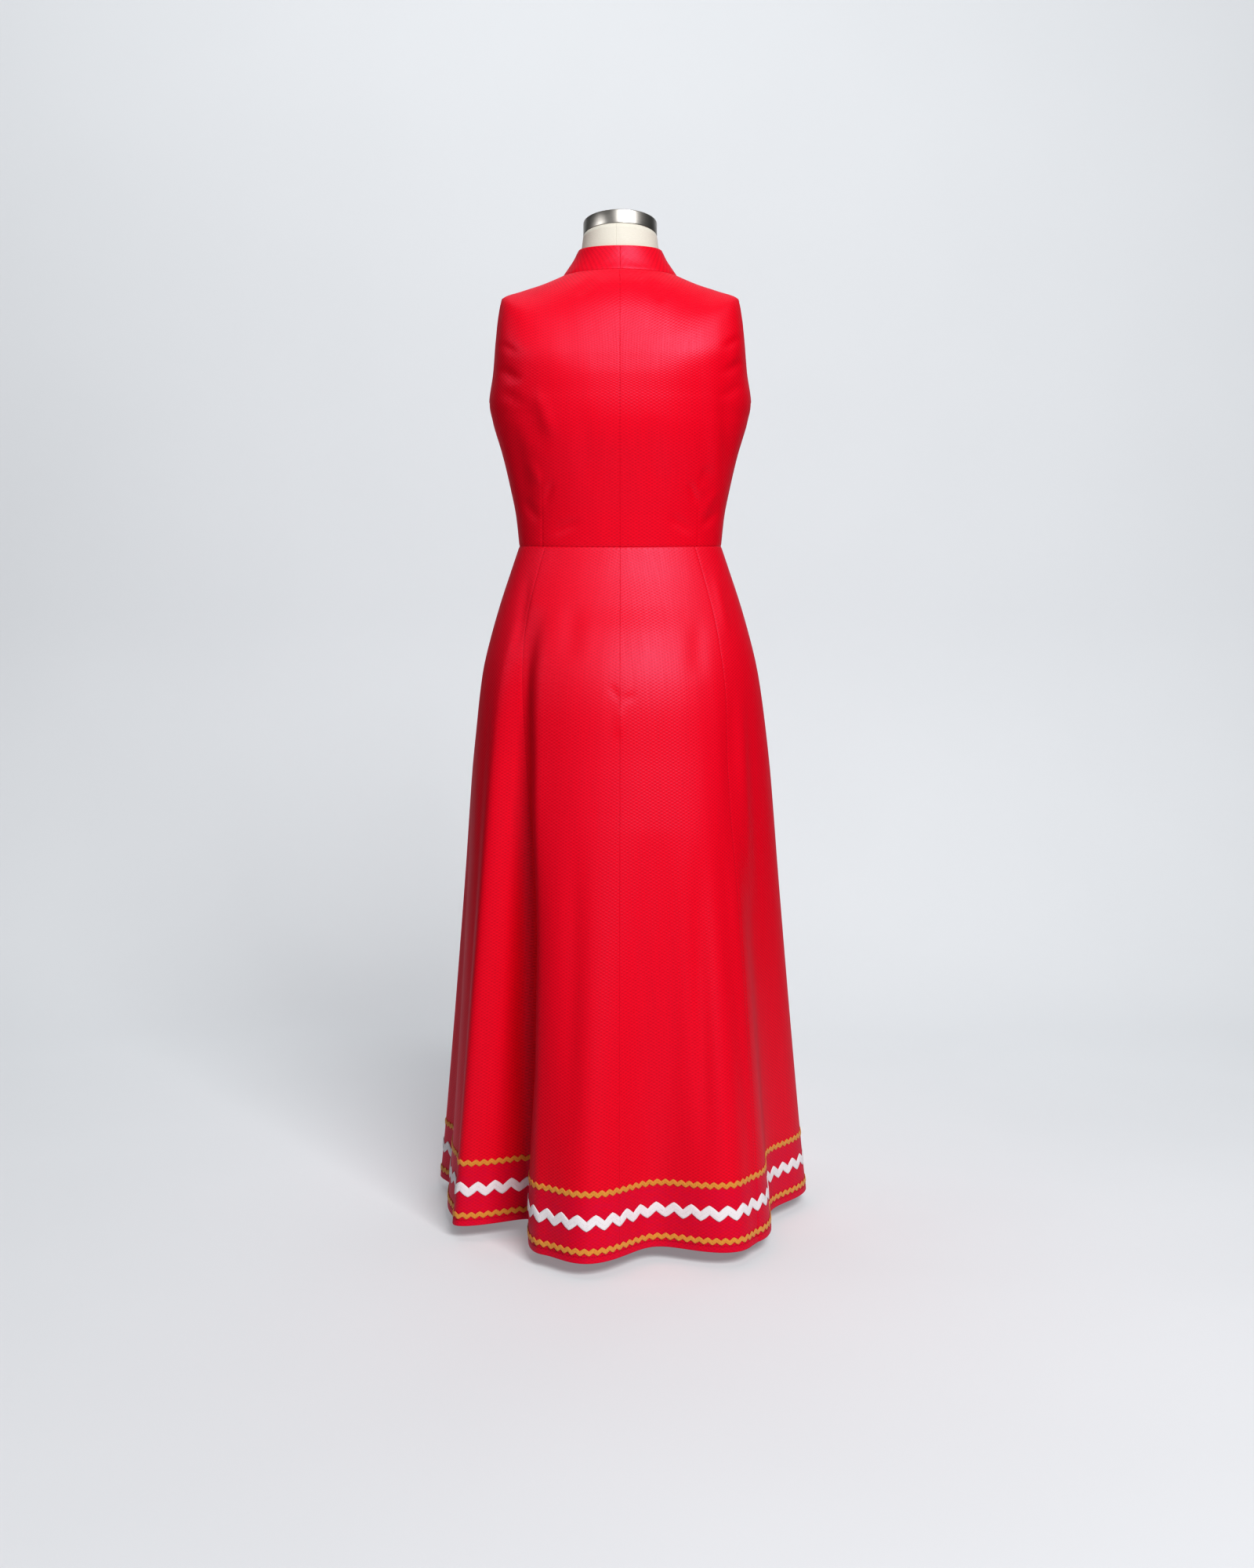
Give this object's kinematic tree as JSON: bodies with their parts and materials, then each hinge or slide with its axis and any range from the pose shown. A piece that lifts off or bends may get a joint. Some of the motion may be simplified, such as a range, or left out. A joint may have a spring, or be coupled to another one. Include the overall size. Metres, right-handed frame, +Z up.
{
  "type": "sarafan dress on a limbless dress form",
  "caption": "Sleeveless fitted folk dress with a stand collar, a long gored skirt and zigzag braids above the hem, filled out by a limbless dress form on a low round stand.",
  "frame": {"origin": "centre of the stand's round underside, on the floor", "axes": "+Z up, the dress's back faces -Y and its front faces +Y"},
  "size_m": [0.55, 0.6375, 1.4372],
  "materials": {
    "red_satin": "satin",
    "white_braid": "matte",
    "gold_braid": "satin",
    "cream_linen": "matte",
    "brushed_steel": "brushed"
  },
  "bodies": {
    "root": {"bodice_back_left": "red_satin", "bodice_back_right": "red_satin", "bodice_front": "red_satin", "collar": "red_satin", "skirt_back_centre_left": "red_satin", "skirt_back_centre_right": "red_satin", "skirt_back_side_left": "red_satin", "skirt_back_side_right": "red_satin", "skirt_front": "red_satin", "ricrac_gold_upper": "gold_braid", "ricrac_white": "white_braid", "ricrac_gold_lower": "gold_braid", "form_torso": "cream_linen", "form_neck_cap": "brushed_steel", "form_pole": "brushed_steel", "form_base": "brushed_steel"}
  },
  "joints": []
}
